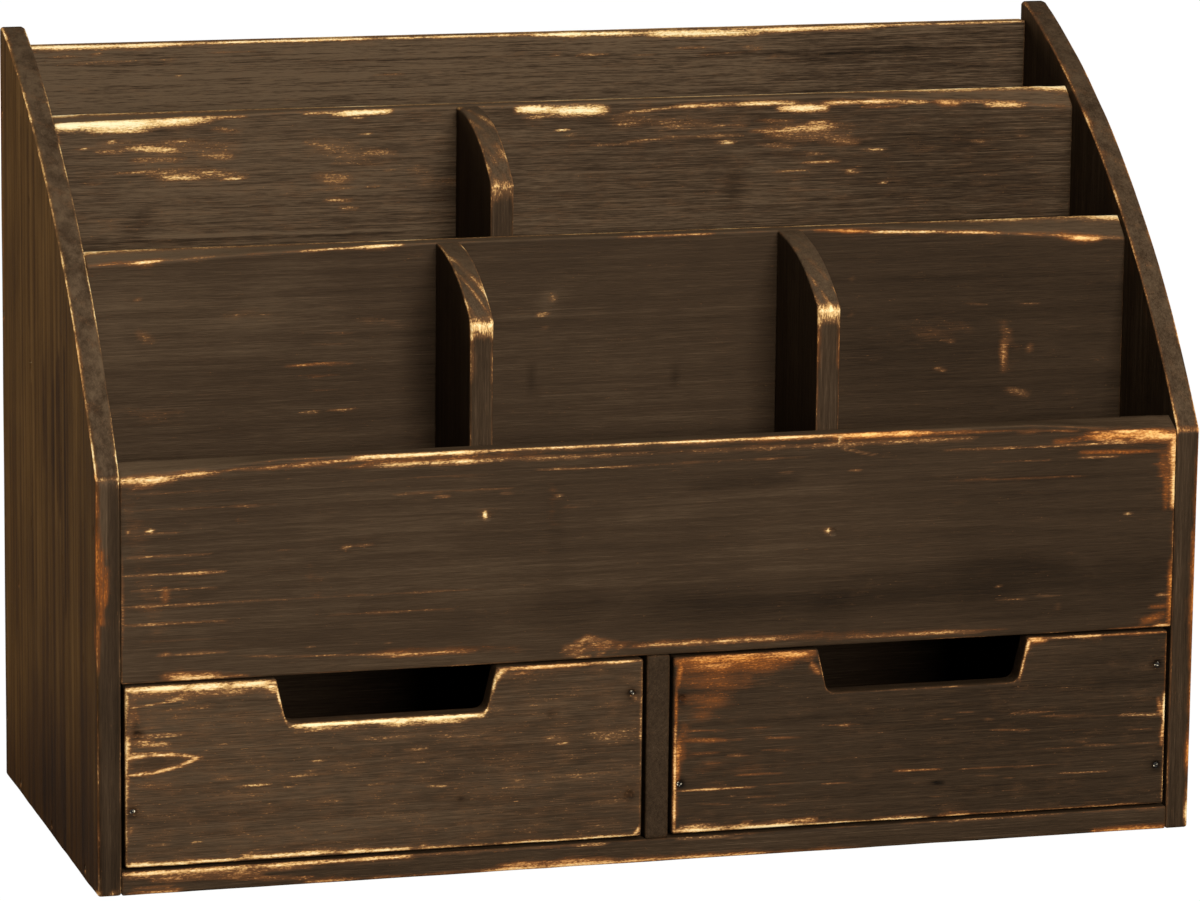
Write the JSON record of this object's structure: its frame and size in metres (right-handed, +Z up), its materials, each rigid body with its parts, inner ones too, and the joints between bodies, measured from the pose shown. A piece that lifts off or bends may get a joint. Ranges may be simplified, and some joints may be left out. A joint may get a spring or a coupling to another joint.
{
  "type": "envelope sorter with drawers",
  "caption": "Rustic wooden desk sorter with stepped upright pockets for letters between curved side panels, over sliding drawers with finger notches.",
  "frame": {"origin": "middle of the footprint, on the surface that the case stands on", "axes": "+X along the width to the right as seen from the drawers, +Y from the drawer fronts to the back panel, +Z up"},
  "size_m": [0.38, 0.166, 0.265],
  "materials": {
    "stained_pine_case": "dark brown stain over pine, edges sanded through to bare wood, satin",
    "stained_pine_drawers": "dark brown stain over pine, edges sanded through to bare wood, satin",
    "drawer_ply": "dark brown stain on thin plywood, matt",
    "nail_steel": "small steel nails, stained over"
  },
  "bodies": {
    "case": {"side_panel_left": "stained_pine_case", "side_panel_right": "stained_pine_case", "back_panel": "stained_pine_case", "bottom_board": "stained_pine_case", "shelf_board": "stained_pine_case", "front_panel": "stained_pine_case", "front_tier_board": "stained_pine_case", "middle_tier_board": "stained_pine_case", "upper_divider": "stained_pine_case", "drawer_partition": "stained_pine_case", "lower_divider_left": "stained_pine_case", "lower_divider_right": "stained_pine_case", "side_nails_left": "nail_steel", "side_nails_right": "nail_steel", "divider_nails": "nail_steel", "front_panel_nails": "nail_steel", "partition_nails": "nail_steel", "back_nails": "nail_steel"},
    "drawer_left": {"drawer_left_front": "stained_pine_drawers", "drawer_left_side_inner": "stained_pine_drawers", "drawer_left_side_outer": "stained_pine_drawers", "drawer_left_back": "stained_pine_drawers", "drawer_left_bottom": "drawer_ply", "drawer_left_front_nails": "nail_steel", "drawer_left_box_nails": "nail_steel"},
    "drawer_right": {"drawer_right_front": "stained_pine_drawers", "drawer_right_side_inner": "stained_pine_drawers", "drawer_right_side_outer": "stained_pine_drawers", "drawer_right_back": "stained_pine_drawers", "drawer_right_bottom": "drawer_ply", "drawer_right_front_nails": "nail_steel", "drawer_right_box_nails": "nail_steel"}
  },
  "joints": [
    {"name": "drawer_left_slide", "type": "slide", "parent": "case", "child": "drawer_left", "axis": [0, -1, 0], "range_m": [0, 0.15]},
    {"name": "drawer_right_slide", "type": "slide", "parent": "case", "child": "drawer_right", "axis": [0, -1, 0], "range_m": [0, 0.15]}
  ]
}
